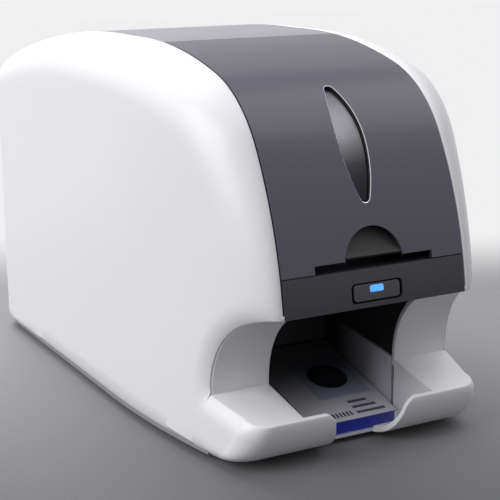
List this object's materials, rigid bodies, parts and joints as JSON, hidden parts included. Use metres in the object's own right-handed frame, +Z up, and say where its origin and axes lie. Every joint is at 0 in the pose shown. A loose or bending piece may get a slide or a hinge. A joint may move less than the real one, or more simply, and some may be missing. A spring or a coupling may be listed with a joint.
{
  "type": "id card printer",
  "caption": "Desktop card printer with white side shells, a charcoal front cover, a card slot over a dark bar with its power button, and an open card bay below",
  "frame": {"origin": "on the table, under the middle of the body", "axes": "+Z up, -Y towards the front with the card bay, +X to the right seen from the front"},
  "size_m": [0.1736, 0.338, 0.205],
  "materials": {
    "white": "satin white moulded plastic",
    "charcoal": "semi-gloss charcoal plastic",
    "bar_dark": "dark satin plastic",
    "button_dark": "dark satin plastic",
    "slate": "fine grained grey plastic",
    "bin_grey": "light grey plastic",
    "black": "black plastic",
    "steel": "plain steel sheet and bar",
    "silver": "brushed silver face",
    "alloy": "extruded aluminium",
    "rubber": "black rubber",
    "ceramic": "glazed ceramic strip",
    "ribbon_blue": "blue plastic",
    "film": "wound colour film",
    "light_blue": "lit clear window",
    "board": "green circuit board",
    "card_white": "white plastic card"
  },
  "bodies": {
    "base": {"left_shell": "white", "right_shell": "white", "front_bar": "bar_dark", "base_pan": "slate", "rear_panel": "slate", "rubber_feet": "rubber", "base_screws": "steel", "frame_left": "steel", "frame_right": "steel", "tie_rods": "steel", "hinge_pins": "steel", "output_bin": "bin_grey", "exit_guide": "black", "button_board": "board", "main_motor": "black", "drive_belt": "rubber", "hopper_box": "bin_grey", "input_cards": "card_white", "pick_motor": "black", "printed_card": "card_white", "main_board": "board", "usb_socket": "steel", "network_socket": "steel", "dc_inlet": "black", "switch_frame": "black"},
    "cover": {"top_cover": "charcoal", "head_bracket": "steel", "heat_sink": "alloy", "print_head": "ceramic", "ribbon_frame": "ribbon_blue", "ribbon_motor": "black", "ribbon_film": "film"},
    "lid": {"rear_lid": "slate"},
    "release": {"release_button": "silver"},
    "latch": {"latch_lever": "black"},
    "power": {"power_button": "button_dark", "status_light": "light_blue"},
    "rocker": {"power_rocker": "black"},
    "supply": {"supply_spool": "film"},
    "takeup": {"takeup_spool": "film"},
    "platen": {"platen_roller": "rubber"},
    "feed_front": {"front_roller": "rubber"},
    "feed_rear": {"rear_roller": "rubber"},
    "feed_carriage": {"carriage_roller": "rubber"},
    "pulley": {"motor_pulley": "steel"},
    "idle_front": {"front_pinch": "steel"},
    "idle_rear": {"rear_pinch": "steel"},
    "tilter": {"carriage": "black"},
    "idle_carriage": {"carriage_pinch": "steel"},
    "presser": {"pressure_plate": "black"},
    "picker": {"pick_roller": "rubber"}
  },
  "joints": [
    {"name": "cover_open", "type": "hinge", "parent": "base", "child": "cover", "pos_m": [0, -0.052, 0.192], "axis": [-1, 0, 0], "range_deg": [0, 75]},
    {"name": "lid_open", "type": "hinge", "parent": "base", "child": "lid", "pos_m": [0, 0.129, 0.1815], "axis": [-1, 0, 0], "range_deg": [0, 70]},
    {"name": "release_push", "type": "slide", "parent": "cover", "child": "release", "axis": [0, 0.8221, -0.5693], "range_m": [0, 0.0025], "stiffness_N_per_m": 600, "springref_m": -0.001},
    {"name": "latch_turn", "type": "hinge", "parent": "cover", "child": "latch", "pos_m": [0, -0.151, 0.122], "axis": [-1, 0, 0], "range_deg": [0, 6.5]},
    {"name": "power_push", "type": "slide", "parent": "base", "child": "power", "axis": [0, 1, 0], "range_m": [0, 0.0008], "stiffness_N_per_m": 1500, "springref_m": -0.0006},
    {"name": "rocker_flip", "type": "hinge", "parent": "base", "child": "rocker", "pos_m": [-0.03, 0.1636, 0.048], "axis": [0, 0, 1], "range_deg": [0, 14]},
    {"name": "takeup_turn", "type": "hinge", "parent": "cover", "child": "takeup", "pos_m": [0, -0.119, 0.139], "axis": [1, 0, 0], "continuous": true},
    {"name": "supply_turn", "type": "hinge", "parent": "cover", "child": "supply", "pos_m": [0, -0.071, 0.141], "axis": [1, 0, 0], "continuous": true},
    {"name": "motor_turn", "type": "hinge", "parent": "base", "child": "pulley", "pos_m": [0, -0.029, 0.062], "axis": [1, 0, 0], "continuous": true},
    {"name": "front_turn", "type": "hinge", "parent": "base", "child": "feed_front", "pos_m": [0, -0.135, 0.0974], "axis": [1, 0, 0], "continuous": true},
    {"name": "platen_turn", "type": "hinge", "parent": "base", "child": "platen", "pos_m": [0, -0.093, 0.0954], "axis": [1, 0, 0], "continuous": true},
    {"name": "rear_turn", "type": "hinge", "parent": "base", "child": "feed_rear", "pos_m": [0, -0.051, 0.0974], "axis": [1, 0, 0], "continuous": true},
    {"name": "carriage_feed", "type": "hinge", "parent": "base", "child": "feed_carriage", "pos_m": [0, -0.001, 0.0974], "axis": [1, 0, 0], "continuous": true},
    {"name": "front_pinch_turn", "type": "hinge", "parent": "base", "child": "idle_front", "pos_m": [0, -0.135, 0.1073], "axis": [1, 0, 0], "continuous": true},
    {"name": "rear_pinch_turn", "type": "hinge", "parent": "base", "child": "idle_rear", "pos_m": [0, -0.051, 0.1073], "axis": [1, 0, 0], "continuous": true},
    {"name": "carriage_tilt", "type": "hinge", "parent": "base", "child": "tilter", "pos_m": [0, -0.001, 0.0974], "axis": [1, 0, 0], "range_deg": [0, 18]},
    {"name": "carriage_pinch_turn", "type": "hinge", "parent": "tilter", "child": "idle_carriage", "pos_m": [0, -0.001, 0.1073], "axis": [1, 0, 0], "continuous": true},
    {"name": "presser_lift", "type": "slide", "parent": "base", "child": "presser", "axis": [0, 0, 1], "range_m": [0, 0.028]},
    {"name": "pick_turn", "type": "hinge", "parent": "base", "child": "picker", "pos_m": [0, 0.071, 0.0933], "axis": [1, 0, 0], "continuous": true}
  ],
  "couplings": [
    {"joint": "latch_turn", "follows": "release_push", "rad_per_m": 41.3},
    {"joint": "supply_turn", "follows": "takeup_turn", "ratio": 0.7333},
    {"joint": "front_turn", "follows": "motor_turn", "ratio": 1},
    {"joint": "platen_turn", "follows": "motor_turn", "ratio": 0.7778},
    {"joint": "rear_turn", "follows": "motor_turn", "ratio": 1},
    {"joint": "carriage_feed", "follows": "motor_turn", "ratio": 1}
  ]
}
